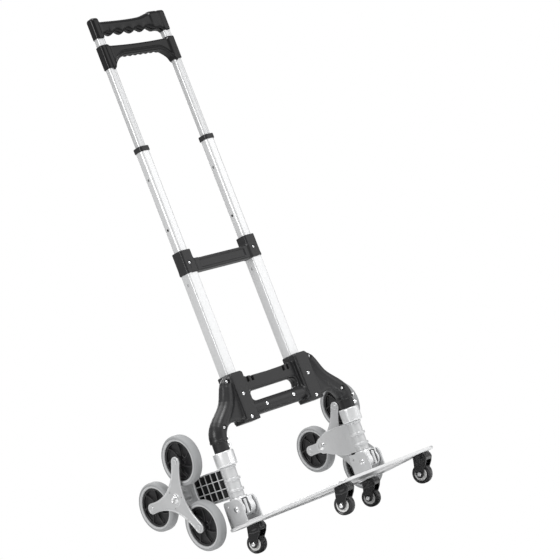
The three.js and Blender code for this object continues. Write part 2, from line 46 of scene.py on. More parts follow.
TUBE_LEAN = math.radians(2.83)
COL = LEG @ Matrix.Translation((0, 19.5, 50)) @ Matrix.Rotation(-TUBE_LEAN, 4, "X") @ Matrix.Translation((0, -19.5, -50))
SIDES = (("left", -1), ("right", 1))

# --------------------------------------------------------------------- camera
turn = Matrix.Rotation(LEAN, 3, "X")
right = turn @ Vector((0.69239069, -0.64195435, -0.32937781))
up = turn @ Vector((0.18774626, -0.28048085, 0.9413192))
back = turn @ Vector((-0.69666812, -0.71360011, -0.0736778))
pose = Matrix((right, up, back)).transposed().to_4x4()
pose.translation = LEG @ Vector((-29.278 * 91.5, -31.253 * 91.5, -0.462 * 91.5))
cam = bpy.data.objects.new("camera", bpy.data.cameras.new("camera"))
cam.data.sensor_width = 36.0
cam.data.lens = 1928.2 / 560.0 * 36.0
cam.data.clip_end = 60.0
cam.matrix_world = pose
bpy.context.scene.collection.objects.link(cam)
bpy.context.scene.camera = cam

# -------------------------------------------------------- signed distances, mm
def ln(*a):
    return np.sqrt(sum(v * v for v in a))


def smin(a, b, k):
    h = np.clip(0.5 + 0.5 * (b - a) / k, 0, 1)
    return b + (a - b) * h - k * h * (1 - h)


def smax(a, b, k):
    return -smin(-a, -b, k)


def sbox(x, y, z, c, half, r=1.0):
    q = [abs(v - m) - h + r for v, m, h in zip((x, y, z), c, half)]
    out = ln(*[np.maximum(v, 0) for v in q])
    return out + np.minimum(np.maximum(np.maximum(q[0], q[1]), q[2]), 0) - r


def rect2(u, v, hu, hv, r):
    a, b = abs(u) - hu + r, abs(v) - hv + r
    return ln(np.maximum(a, 0), np.maximum(b, 0)) + np.minimum(np.maximum(a, b), 0) - r


def poly2(u, v, pts):
    u, v = np.broadcast_arrays(u, v)
    d = np.full(u.shape, 1e12)
    s = np.ones(u.shape)
    n = len(pts)
    for i in range(n):
        (ax, ay), (bx, by) = pts[i], pts[i - 1]
        ex, ey = bx - ax, by - ay
        wx, wy = u - ax, v - ay
        t = np.clip((wx * ex + wy * ey) / max(ex * ex + ey * ey, 1e-9), 0, 1)
        d = np.minimum(d, (wx - ex * t) ** 2 + (wy - ey * t) ** 2)
        c1, c2, c3 = v >= ay, v < by, ex * wy > ey * wx
        s = np.where((c1 & c2 & c3) | (~c1 & ~c2 & ~c3), -s, s)
    return s * np.sqrt(d)


def ext(d2, w, w0, w1, r=1.0):
    """2-D distance extruded along w from w0 to w1, edges rounded by r."""
    a = d2 + r
    b = abs(w - (w0 + w1) / 2) - (w1 - w0) / 2 + r
    return np.minimum(np.maximum(a, b), 0) + ln(np.maximum(a, 0), np.maximum(b, 0)) - r


def rod(u, v, w, r, w0, w1, e=0.8):
    return ext(ln(u, v) - r, w, w0, w1, e)


def cone(x, y, z, a, b, ra, rb):
    e = [q - p for p, q in zip(a, b)]
    w = [v - p for v, p in zip((x, y, z), a)]
    t = np.clip(sum(i * j for i, j in zip(w, e)) / sum(i * i for i in e), 0, 1)
    return ln(*[i - j * t for i, j in zip(w, e)]) - (ra + (rb - ra) * t)


def nets(f, lo, hi, h, steps=1):
    """Surface nets of the zero level of f over a box: points and quads."""
    ax = [np.arange(a - 1.5 * h, b + 2.5 * h, h) for a, b in zip(lo, hi)]
    g = np.meshgrid(*ax, indexing="ij", sparse=True)
    D = np.broadcast_to(f(*g), [len(a) for a in ax]).astype(np.float64)
    ins = D < 0
    n = D.shape
    cnt = np.zeros([v - 1 for v in n], np.int8)
    cor = [(i, j, k) for i in (0, 1) for j in (0, 1) for k in (0, 1)]
    for i, j, k in cor:
        cnt += ins[i : n[0] - 1 + i, j : n[1] - 1 + j, k : n[2] - 1 + k]
    act = (cnt > 0) & (cnt < 8)
    ii = np.array(np.nonzero(act))
    idx = np.full(act.shape, -1, np.int64)
    idx[act] = np.arange(ii.shape[1])
    pos, num = np.zeros((ii.shape[1], 3)), np.zeros(ii.shape[1])
    for a in cor:
        for axis in range(3):
            if a[axis]:
                continue
            b = list(a)
            b[axis] = 1
            da = D[ii[0] + a[0], ii[1] + a[1], ii[2] + a[2]]
            db = D[ii[0] + b[0], ii[1] + b[1], ii[2] + b[2]]
            hit = (da < 0) != (db < 0)
            t = np.where(hit, da / np.where(hit, da - db, 1), 0)
            p = np.array(a, float)[None, :].repeat(len(t), 0)
            p[:, axis] = t
            pos[hit] += p[hit]
            num[hit] += 1
    pos = (pos / num[:, None] + ii.T) * h + np.array([a[0] for a in ax])
    quads = []
    for axis in range(3):
        u, v = (axis + 1) % 3, (axis + 2) % 3
        lo_s = [slice(1, m - 1) for m in n]
        hi_s = list(lo_s)
        lo_s[axis], hi_s[axis] = slice(0, n[axis] - 1), slice(1, n[axis])
        s0, s1 = ins[tuple(lo_s)], ins[tuple(hi_s)]
        c = np.array(np.nonzero(s0 != s1))
        first = s0[tuple(c)]
        for m in range(3):
            if m != axis:
                c[m] += 1
        def cell(du, dv):
            q = [c[0].copy(), c[1].copy(), c[2].copy()]
            q[u] += du
            q[v] += dv
            return idx[tuple(q)]
        q = np.stack([cell(-1, -1), cell(0, -1), cell(0, 0), cell(-1, 0)], 1)
        q[~first] = q[~first][:, ::-1]
        quads.append(q)
    for _ in range(steps):
        e = 0.15 * h
        P = [pos[:, 0], pos[:, 1], pos[:, 2]]
        d = f(*P)
        grad = []
        for m in range(3):
            q = list(P)
            q[m] = P[m] + e
            r = list(P)
            r[m] = P[m] - e
            grad.append((f(*q) - f(*r)) / (2 * e))
        grad = np.stack(grad, 1)
        size = np.maximum((grad**2).sum(1), 0.25)
        move = np.clip(d / size, -0.5 * h, 0.5 * h)
        pos = pos - grad * move[:, None]
    return pos, np.concatenate(quads)


def mesh_of(name, pos, faces, flip=False):
    me = bpy.data.meshes.new(name)
    me.vertices.add(len(pos))
    me.vertices.foreach_set("co", np.asarray(pos, np.float32).ravel())
    faces = np.asarray(faces)
    if flip:
        faces = faces[:, ::-1]
    k = faces.shape[1]
    me.loops.add(faces.size)
    me.loops.foreach_set("vertex_index", faces.ravel().astype(np.int32))
    me.polygons.add(len(faces))
    me.polygons.foreach_set("loop_start", np.arange(0, faces.size, k, dtype=np.int32))
    me.update(calc_edges=True)
    me.validate()
    return me


def put(name, me, mat, body, M=LEG, nodes=(), smooth=True, sharp=35):
    me.transform(M)
    if M.to_3x3().determinant() < 0:
        me.flip_normals()
    for p in me.polygons:
        p.use_smooth = smooth
    if smooth and sharp:
        me.set_sharp_from_angle(angle=math.radians(sharp))
    ob = bpy.data.objects.new(name, me)
    bpy.context.scene.collection.objects.link(ob)
    me.materials.clear()
    for m in mat if isinstance(mat, (list, tuple)) else (mat,):
        me.materials.append(m)
    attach(ob, body)
    if nodes:
        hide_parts(*nodes)
    return ob


def cast(name, f, lo, hi, h, mat, body, M=LEG, nodes=(), steps=1, sharp=50):
    pos, quads = nets(f, lo, hi, h, steps)
    return put(name, mesh_of(name, pos, quads), mat, body, M, nodes, True, sharp)


MIRROR = Matrix.Scale(-1, 4, (1, 0, 0))


def paint(ob, M, test, index=1):
    """Gives the second material to the faces whose centre, before M, passes the test."""
    me = ob.data
    c = np.empty(len(me.polygons) * 3, np.float32)
    me.polygons.foreach_get("center", c)
    inv = np.array(M.inverted())
    q = c.reshape(-1, 3).astype(float) @ inv[:3, :3].T + inv[:3, 3]
    mark = test(q[:, 0], q[:, 1], q[:, 2])
    old = np.empty(len(me.polygons), np.int32)
    me.polygons.foreach_get("material_index", old)
    old[mark] = index
    me.polygons.foreach_set("material_index", old)
    me.update()


def side_m(s, M=LEG):
    return M if s > 0 else M @ MIRROR


# ------------------------------------------------------------ plain mesh shapes
def bm_mesh(name, bm):
    bmesh.ops.recalc_face_normals(bm, faces=bm.faces)
    me = bpy.data.meshes.new(name)
    bm.to_mesh(me)
    bm.free()
    return me


def lathe(name, prof, seg=72, axis="x", c=(0, 0, 0)):
    """Closed profile (radius, height) turned about an axis through c."""
    bm = bmesh.new()
    rings = []
    for i in range(seg):
        t = 2 * math.pi * i / seg
        ring = []
        for r, a in prof:
            u, v = r * math.cos(t), r * math.sin(t)
            p = {"x": (a, u, v), "y": (v, a, u), "z": (u, v, a)}[axis]
            ring.append(bm.verts.new([p[k] + c[k] for k in range(3)]))
        rings.append(ring)
    m = len(prof)
    for i in range(seg):
        a, b = rings[i], rings[(i + 1) % seg]
        for k in range(m):
            k2 = (k + 1) % m
            if prof[k][0] < 1e-6 and prof[k2][0] < 1e-6:
                continue
            bm.faces.new((a[k], a[k2], b[k2], b[k]))
    bmesh.ops.remove_doubles(bm, verts=bm.verts, dist=1e-4)
    bmesh.ops.dissolve_degenerate(bm, dist=1e-5, edges=bm.edges)
    return bm_mesh(name, bm)


def rr(w, d, r, cx=0, cy=0, seg=6):
    out = []
    for x, y, a in (
        (w / 2 - r, d / 2 - r, 0),
        (-w / 2 + r, d / 2 - r, 90),
        (-w / 2 + r, -d / 2 + r, 180),
        (w / 2 - r, -d / 2 + r, 270),
    ):
        for i in range(seg + 1):
            t = math.radians(a + 90 * i / seg)
            out.append((cx + x + r * math.cos(t), cy + y + r * math.sin(t)))
    return out


def tube_mesh(name, outer, inner, zs):
    """Hollow bar of two loops of equal count, rings at heights zs."""
    bm = bmesh.new()
    n = len(outer)
    rings = []
    for z in zs:
        rings.append(
            (
                [bm.verts.new((p[0], p[1], z)) for p in outer],
                [bm.verts.new((p[0], p[1], z)) for p in inner],
            )
        )
    for (o0, i0), (o1, i1) in zip(rings, rings[1:]):
        for k in range(n):
            q = (k + 1) % n
            bm.faces.new((o0[k], o0[q], o1[q], o1[k]))
            bm.faces.new((i0[k], i1[k], i1[q], i0[q]))
    for o, i in (rings[0], rings[-1]):
        for k in range(n):
            q = (k + 1) % n
            bm.faces.new((o[k], o[q], i[q], i[k]))
    return bm_mesh(name, bm)


def drill(ob, me_cut):
    """Cuts a mesh, already in the object's space, out of the object."""
    tool = bpy.data.objects.new("tool", me_cut)
    bpy.context.scene.collection.objects.link(tool)
    mod = ob.modifiers.new("cut", "BOOLEAN")
    mod.operation = "DIFFERENCE"
    mod.solver = "EXACT"
    mod.object = tool
    dg = bpy.context.evaluated_depsgraph_get()
    new = bpy.data.meshes.new_from_object(ob.evaluated_get(dg))
    ob.modifiers.clear()
    old = ob.data
    ob.data = new
    bpy.data.objects.remove(tool)
    bpy.data.meshes.remove(old)
    return ob


# ------------------------------------------------------------------- materials
def material(
    name,
    color,
    rough,
    metallic=0.0,
    spec=0.5,
    vary=0.12,
    rough_vary=0.10,
    grain=(420.0, 420.0, 420.0),
    bump=0.15,
    depth=0.00012,
    blotch=22.0,
    edge=0.0,
    edge_highlight_color=None,
    dirt=0.0,
    coat=0.0,
    tilt=0.0,
):
    m = bpy.data.materials.new(name)
    m.use_nodes = True
    nt = m.node_tree
    nt.nodes.clear()
    new, link = nt.nodes.new, nt.links.new
    out = new("ShaderNodeOutputMaterial")
    sh = new("ShaderNodeBsdfPrincipled")
    link(sh.outputs[0], out.inputs[0])
    sh.inputs["Metallic"].default_value = metallic
    sh.inputs["Specular IOR Level"].default_value = spec
    sh.inputs["Coat Weight"].default_value = coat
    sh.inputs["Coat Roughness"].default_value = 0.25
    tc = new("ShaderNodeTexCoord")
    mp = new("ShaderNodeMapping")
    mp.vector_type = "TEXTURE"
    if tilt:
        mp.inputs["Rotation"].default_value = (tilt, 0, 0)
    link(tc.outputs["Object"], mp.inputs["Vector"])
    # broad colour variation
    broad = new("ShaderNodeTexNoise")
    broad.inputs["Scale"].default_value = blotch
    broad.inputs["Detail"].default_value = 5.0
    broad.inputs["Roughness"].default_value = 0.6
    link(mp.outputs[0], broad.inputs["Vector"])
    # fine grain, stretched where asked
    st = new("ShaderNodeMapping")
    st.inputs["Scale"].default_value = grain
    link(mp.outputs[0], st.inputs["Vector"])
    fine = new("ShaderNodeTexNoise")
    fine.inputs["Scale"].default_value = 1.0
    fine.inputs["Detail"].default_value = 3.0
    link(st.outputs[0], fine.inputs["Vector"])
    mixv = new("ShaderNodeMapRange")
    mixv.inputs["From Min"].default_value = 0.3
    mixv.inputs["From Max"].default_value = 0.7
    mixv.inputs["To Min"].default_value = 1 - vary
    mixv.inputs["To Max"].default_value = 1 + vary
    link(broad.outputs["Fac"], mixv.inputs["Value"])
    col = new("ShaderNodeMix")
    col.data_type = "RGBA"
    col.blend_type = "MULTIPLY"
    col.inputs["Factor"].default_value = 1.0
    col.inputs["A"].default_value = (*color, 1)
    comb = new("ShaderNodeCombineColor")
    for k in range(3):
        link(mixv.outputs[0], comb.inputs[k])
    link(comb.outputs[0], col.inputs["B"])
    colour = col.outputs["Result"]
    # painted highlight: convex edges, found by Pointiness, are lightened in patches towards a paler colour to stand in
    # for light glinting along the edges
    if edge:
        geo = new("ShaderNodeNewGeometry")
        ramp = new("ShaderNodeMapRange")
        ramp.inputs["From Min"].default_value = 0.53
        ramp.inputs["From Max"].default_value = 0.62
        ramp.inputs["To Min"].default_value = 0.0
        ramp.inputs["To Max"].default_value = edge
        link(geo.outputs["Pointiness"], ramp.inputs["Value"])
        edge_highlight = new("ShaderNodeMath")
        edge_highlight.operation = "MULTIPLY"
        link(ramp.outputs[0], edge_highlight.inputs[0])
        link(broad.outputs["Fac"], edge_highlight.inputs[1])
        em = new("ShaderNodeMix")
        em.data_type = "RGBA"
        link(edge_highlight.outputs[0], em.inputs["Factor"])
        link(colour, em.inputs["A"])
        em.inputs["B"].default_value = (*(edge_highlight_color or [min(1, c * 2.2) for c in color]), 1)
        colour = em.outputs["Result"]
    if dirt:
        dn = new("ShaderNodeTexNoise")
        dn.inputs["Scale"].default_value = 70.0
        dn.inputs["Detail"].default_value = 6.0
        link(mp.outputs[0], dn.inputs["Vector"])
        dr = new("ShaderNodeMapRange")
        dr.inputs["From Min"].default_value = 0.5
        dr.inputs["From Max"].default_value = 0.75
        dr.inputs["To Max"].default_value = dirt
        link(dn.outputs["Fac"], dr.inputs["Value"])
        dm = new("ShaderNodeMix")
        dm.data_type = "RGBA"
        link(dr.outputs[0], dm.inputs["Factor"])
        link(colour, dm.inputs["A"])
        dm.inputs["B"].default_value = (*[c * 0.55 for c in color], 1)
        colour = dm.outputs["Result"]
    link(colour, sh.inputs["Base Color"])
    rg = new("ShaderNodeMapRange")
    rg.inputs["From Min"].default_value = 0.3
    rg.inputs["From Max"].default_value = 0.7
    rg.inputs["To Min"].default_value = max(0.03, rough - rough_vary)
    rg.inputs["To Max"].default_value = min(1.0, rough + rough_vary)
    both = new("ShaderNodeMath")
    both.operation = "MULTIPLY_ADD"
    both.inputs[1].default_value = 0.5
    link(fine.outputs["Fac"], both.inputs[0])
    half = new("ShaderNodeMath")
    half.operation = "MULTIPLY"
    half.inputs[1].default_value = 0.5
    link(broad.outputs["Fac"], half.inputs[0])
    link(half.outputs[0], both.inputs[2])
    link(both.outputs[0], rg.inputs["Value"])
    link(rg.outputs[0], sh.inputs["Roughness"])
    bp = new("ShaderNodeBump")
    bp.inputs["Strength"].default_value = bump
    bp.inputs["Distance"].default_value = depth
    link(fine.outputs["Fac"], bp.inputs["Height"])
    link(bp.outputs[0], sh.inputs["Normal"])
    return m


# the edge settings below give painted highlights along convex edges
BLACK = material("bracket_plastic", (0.015, 0.015, 0.016), 0.34, spec=0.46, edge=0.6, edge_highlight_color=(0.09, 0.09, 0.093), bump=0.05, depth=0.00006, rough_vary=0.05)
GRIP = material("grip_plastic", (0.005, 0.005, 0.0055), 0.24, spec=0.32, edge=0.2, edge_highlight_color=(0.03, 0.03, 0.032), bump=0.02, depth=0.00004, grain=(450, 450, 450), rough_vary=0.03)
FORK = material("fork_plastic", (0.005, 0.005, 0.006), 0.17, spec=0.5, edge=0.2, edge_highlight_color=(0.03, 0.03, 0.03), bump=0.02, coat=0.3, rough_vary=0.03)
ALU = material("tube_aluminium", (0.88, 0.885, 0.89), 0.42, metallic=0.80, vary=0.02, rough_vary=0.03, grain=(240, 240, 4), bump=0.012, depth=0.00004, tilt=LEAN - TUBE_LEAN)
ALU_IN = material("tube_aluminium_inner", (0.74, 0.745, 0.75), 0.44, metallic=0.80, vary=0.02, rough_vary=0.03, grain=(260, 260, 4), bump=0.012, depth=0.00004, tilt=LEAN - TUBE_LEAN)
CAST = material("cast_grey", (0.66, 0.665, 0.67), 0.40, metallic=0.45, vary=0.04, rough_vary=0.06, grain=(420, 420, 420), bump=0.05, depth=0.00006, edge=0.9, edge_highlight_color=(0.90, 0.90, 0.91), tilt=LEAN)
SPIDER = material("spider_grey", (0.60, 0.605, 0.61), 0.36, metallic=0.5, vary=0.04, grain=(420, 420, 420), bump=0.04, depth=0.00005, edge=0.9, edge_highlight_color=(0.93, 0.93, 0.93))
CHROME = material("plated_steel", (0.88, 0.885, 0.89), 0.16, metallic=1.0, vary=0.03, rough_vary=0.05, grain=(380, 380, 380), bump=0.02, depth=0.00004)
BARREL = material("barrel_metal", (0.84, 0.845, 0.85), 0.36, metallic=0.60, vary=0.03, rough_vary=0.04, grain=(300, 300, 20), bump=0.02, depth=0.00004, tilt=LEAN)
PLATE = material("plate_steel", (0.74, 0.745, 0.75), 0.34, metallic=0.75, vary=0.04, rough_vary=0.06, grain=(8, 240, 240), bump=0.04, depth=0.00005, dirt=0.06)
TYRE = material("stair_rubber", (0.32, 0.325, 0.33), 0.60, spec=0.35, vary=0.05, grain=(380, 380, 380), bump=0.08, depth=0.00010, dirt=0.08)
TYRE_EDGE = material("stair_rubber_edge", (0.50, 0.505, 0.51), 0.5, spec=0.4, vary=0.04, bump=0.06)
RIM = material("stair_rim", (0.010, 0.010, 0.011), 0.34, spec=0.5, edge=0.4, edge_highlight_color=(0.05, 0.05, 0.05), bump=0.05)
CTYRE = material("caster_rubber", (0.011, 0.011, 0.012), 0.26, spec=0.5, bump=0.05, coat=0.2)
CORE = material("caster_core", (0.82, 0.82, 0.81), 0.32, spec=0.5, vary=0.03, bump=0.03)
# painted shade: a near-black second material laid on recess faces (the swing brackets' pockets, the post's front slot)
# to stand in for the shade that falls there
SHADE_PAINT = material("recess_painted_shade", (0.045, 0.045, 0.046), 0.6, bump=0.05)

POLISH = {
    "lock_button": CHROME, "hinge_pin": CHROME, "caster_mount": CHROME, "hub_axle": CHROME, "caster_core": CORE, "caster_tyre": CTYRE,
    "caster_fork": FORK, "toe_plate": PLATE, "hinge_bracket": CAST, "rim": RIM, "tyre": TYRE, "spider": SPIDER, "swing_bracket": CAST,
    "post_collar": BARREL, "post": BARREL, "top_handle": GRIP, "release_yoke": BLACK, "middle_collar": BLACK, "mid_bushing": BLACK,
    "inner_tube": ALU_IN, "mid_tube": ALU, "outer_tube": ALU, "base_bracket": BLACK,
}
for node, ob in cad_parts.items():
    key = max((k for k in POLISH if node.startswith(k)), key=len)
    ob.data.materials.clear()
    ob.data.materials.append(POLISH[key])

# ---------------------------------------------------------------- stage, light
floor = bpy.data.objects.new("floor", bpy.data.meshes.new("floor"))
bpy.context.scene.collection.objects.link(floor)
bm = bmesh.new()
bmesh.ops.create_grid(bm, x_segments=2, y_segments=2, size=6.0)
bm.to_mesh(floor.data)
bm.free()
floor.location.z = -0.0003
fm = bpy.data.materials.new("floor")
fm.use_nodes = True
nt = fm.node_tree
nt.nodes.clear()
o = nt.nodes.new("ShaderNodeOutputMaterial")
mx = nt.nodes.new("ShaderNodeMixShader")
tr = nt.nodes.new("ShaderNodeBsdfTransparent")
df = nt.nodes.new("ShaderNodeBsdfDiffuse")
df.inputs["Color"].default_value = (0.86, 0.86, 0.86, 1)
gg = nt.nodes.new("ShaderNodeNewGeometry")
far = nt.nodes.new("ShaderNodeVectorMath")
far.operation = "LENGTH"
fade = nt.nodes.new("ShaderNodeMapRange")
fade.interpolation_type = "SMOOTHSTEP"
fade.inputs["From Min"].default_value = 0.6
fade.inputs["From Max"].default_value = 2.0
most = nt.nodes.new("ShaderNodeMath")
most.operation = "MAXIMUM"
nt.links.new(gg.outputs["Position"], far.inputs[0])
nt.links.new(far.outputs["Value"], fade.inputs["Value"])
nt.links.new(fade.outputs[0], most.inputs[0])
nt.links.new(gg.outputs["Backfacing"], most.inputs[1])
nt.links.new(most.outputs[0], mx.inputs[0])
nt.links.new(df.outputs[0], mx.inputs[1])
nt.links.new(tr.outputs[0], mx.inputs[2])
nt.links.new(mx.outputs[0], o.inputs[0])
floor.data.materials.append(fm)

world = bpy.data.worlds.new("world")
bpy.context.scene.world = world
world.use_nodes = True
nt = world.node_tree
bg = nt.nodes["Background"]
bg.inputs["Color"].default_value = (1, 1, 1, 1)
bg.inputs["Strength"].default_value = 0.38
bg2 = nt.nodes.new("ShaderNodeBackground")
bg2.inputs["Color"].default_value = (1, 1, 1, 1)
bg2.inputs["Strength"].default_value = 1.0
lp = nt.nodes.new("ShaderNodeLightPath")
mixw = nt.nodes.new("ShaderNodeMixShader")
nt.links.new(lp.outputs["Is Camera Ray"], mixw.inputs[0])
nt.links.new(bg.outputs[0], mixw.inputs[1])
nt.links.new(bg2.outputs[0], mixw.inputs[2])
nt.links.new(mixw.outputs[0], nt.nodes["World Output"].inputs[0])
bpy.context.scene.view_settings.view_transform = "Standard"


def lamp(name, at, to, size, power):
    d = bpy.data.lights.new(name, "AREA")
    d.shape = "RECTANGLE"
    d.size, d.size_y = size
    d.energy = power
    ob = bpy.data.objects.new(name, d)
    ob.location = at
    ob.rotation_euler = (Vector(to) - Vector(at)).to_track_quat("-Z", "Y").to_euler()
    bpy.context.scene.collection.objects.link(ob)


lamp("key", (0.1, -2.3, 3.1), (0, 0, 0.4), (1.2, 1.2), 58)
lamp("panel", (2.1, -2.2, 1.1), (0, 0, 0.6), (2.4, 2.4), 17.5)
lamp("top", (-0.3, 0.3, 3.3), (0, 0, 0.4), (2.2, 2.2), 44)
lamp("fill", (-2.9, -0.5, 1.7), (0, 0, 0.5), (0.8, 1.8), 38)
lamp("back", (-1.9, 2.3, 1.2), (0, 0, 0.6), (2.2, 2.4), 3)
lamp("rim", (1.4, 2.4, 1.9), (0, 0, 0.5), (1.4, 1.6), 20)

# ---------------------------------------------------------------- base bracket
def spline(keys, n):
    """Points on a Catmull-Rom curve through the keys, n to a span."""
    K = [np.array(k, float) for k in keys]
    K = [2 * K[0] - K[1]] + K + [2 * K[-1] - K[-2]]
    out = []
    for i in range(1, len(K) - 2):
        for t in np.arange(n) / n:
            a, b, c, d = K[i - 1 : i + 3]
            out.append(0.5 * (2 * b + (c - a) * t + (2 * a - 5 * b + 4 * c - d) * t**2 + (3 * b - a - 3 * c + d) * t**3))
    return [tuple(v) for v in out] + [tuple(K[-2])]


def chaikin(pts, n=2):
    """Closed outline with its corners cut, n times."""
    for _ in range(n):
        out = []
        for i, (ax, ay) in enumerate(pts):
            bx, by = pts[(i + 1) % len(pts)]
            L = math.hypot(bx - ax, by - ay)
            t = min(0.25, 5.0 / L)
            out += [(ax + (bx - ax) * t, ay + (by - ay) * t), (bx - (bx - ax) * t, by - (by - ay) * t)]
        pts = out
    return pts


ARM = spline(
    [
        (112, 87, 10), (120.5, 76.9, 13), (126.5, 62.2, 14.6), (136, 41.6, 15.5), (150.5, 25.3, 16.4),
        (167, 10.6, 17.3), (178.4, -2, 18), (184, -14.5, 18.2), (184.5, -30, 18.2), (184.5, -52, 18.2),
    ],
    2,
)
WEB = [
    (108, 93), (117, 88), (124, 74), (134, 56), (150, 38), (170, 22), (186, 6), (184, -10),
    (172, -8), (163, -1), (150, 4.5), (134, 6), (120, 3), (108, 3),
]
SEAM = spline([(100, 3.6), (120, 4.6), (134, 7.6), (150, 6.2), (163, 0.6), (172, -6.4)], 2)
# x, y, z and whether the screw sits on a face that leans with the tubes
SCREWS = [(119.6, 0.4, 84.5, 0), (94.5, -8, 50.6, 1), (94.6, -8, 2.4, 1), (172.5, -7.4, 0.5, 0), (38.9, -2.9, 17.9, 1)]
TC, TS = math.cos(TUBE_LEAN), math.sin(TUBE_LEAN)


def bracket(x, y, z):
    a = abs(x)
    yl = 19.5 + (y - 19.5) * TC - (z - 50) * TS
    zl = 50 + (y - 19.5) * TS + (z - 50) * TC
    plate = ext(poly2(a, zl, [(-9, 8), (80, 8), (80, 84), (62, 84.6), (40, 82.5), (-9, 81.6)]), yl, 5, 24, 2.2)
    bar = ln(yl - 12, zl - 17) - 15.2
    bar = smax(bar, a - 80, 1)
    d = smin(plate, bar, 5)
    web = ext(poly2(a, z, WEB), y, -2.8, 20, 2.4)
    arm = None
    for (x0, z0, r0), (x1, z1, r1) in zip(ARM, ARM[1:]):
        c = cone(a, y, z, (x0, 7, z0), (x1, 7, z1), r0, r1)
        arm = c if arm is None else np.minimum(arm, c)
    arm = smax(arm, -24 - z, 1.0)
    # rolled end of the arm, and the narrower sleeve below it
    arm = smin(arm, rod(a - 184.5, y - 7, z, 18.9, -24.4, -19.5, 1.2), 1.2)
    arm = smin(arm, rod(a - 184.5, y - 7, z, 15.8, -43.7, -20, 0.8), 0.8)
    wing = smin(web, arm, 4)
    # rolled lower edge of the web
    for (x0, z0), (x1, z1) in zip(SEAM, SEAM[1:]):
        wing = smin(wing, cone(a, y, z, (x0, -0.6, z0), (x1, -0.6, z1), 2.9, 2.9), 1.2)
    foot = sbox(a, yl, zl, (93, 11, -1), (23, 15, 5), 2)
    wing = smin(wing, foot, 2.5)
    house = ext(rect2(a - 93.5, yl - 14, 18.5, 22, 8), zl, -3, 97, 3.4)
    # shallow bead down the front of the housing's outer edges
    bead = sbox(a, yl, zl, (93.5, -6.9, 47), (16.4, 1.3, 47.0), 1.2)
    d = smin(smin(d, wing, 2), smin(house, bead, 1), 2.5)
    slot = ext(rect2(a, zl - 42, 66.5, 11, 10.8), yl, -30, 50, 1)
    lipo = ext(abs(rect2(a, zl - 42, 66.5, 11, 10.8) - 2.2) - 1.4, yl, 3.6, 26, 1)
    d = smin(d, smax(lipo, -(yl - 3), 1), 2)
    d = smax(d, -slot, 2)
    # cord notches with a tongue between them
    for nx in (45.0, 58.0):
        d = smax(d, -sbox(a, yl, zl, (nx, 14, 82), (2.8, 16, 11), 1.5), 1.2)
    # leg socket and pin bore
    d = smax(d, -ext(rect2(a - 91.5, yl - 19.5, 13.75, 13.35, 4), zl, 4.7, 140, 0.5), 0.8)
    d = smax(d, -rod(a - 184.5, y - 7, z, 8.3, -70, -21.2, 0.5), 0.5)
    for sx, sy, sz, tilted in SCREWS:
        u, v = (yl, zl) if tilted else (y, z)
        d = smax(d, -rod(a - sx, v - sz, u, 4.8, sy - 6, sy + 1.6, 0.4), 0.6)
    return d


for name, f, y0, y1, node in (
    ("front", lambda x, y, z: smax(bracket(x, y, z), y - 14.0, 0.5), -14, 16, "base_bracket_front"),
    ("rear", lambda x, y, z: smax(bracket(x, y, z), 14.4 - y, 0.5), 12, 40, "base_bracket_rear"),
):
    cast(f"base_bracket_{name}_shell", f, (-204, y0, -47), (204, y1, 100), 1.05, BLACK, "frame", nodes=(node,))


def screw_sdf(x, y, z, r=4.1):
    d = smax(ln(x, z, (y - 3.2) * 1.0) - 5.2, ln(x, z) - r, 0.5)
    d = smax(d, y - 2.6, 0.3)
    cross = np.minimum(sbox(x, y, z, (0, -2.2, 0), (2.3, 1.3, 0.5), 0.2), sbox(x, y, z, (0, -2.2, 0), (0.5, 1.3, 2.3), 0.2))
    return smax(d, -cross, 0.2)


SCREW = nets(screw_sdf, (-4.4, -2.4, -4.4), (4.4, 2.9, 4.4), 0.42, 1)


def screw(name, at, body, M=LEG, scale=1.0, facing=None):
    """A screw head; its axis points to -Y unless facing gives another rotation."""
    T = Matrix.Translation(at) @ (facing or Matrix.Identity(4)) @ Matrix.Scale(scale, 4)
    return put(name, mesh_of(name, *SCREW), CHROME, body, M @ T, sharp=30)


for side, s in SIDES:
    for i, (sx, sy, sz, tilted) in enumerate(SCREWS):
        screw(f"bracket_screw_{i}_{side}", (s * sx, sy + 0.4, sz), "frame", COL if tilted else LEG)

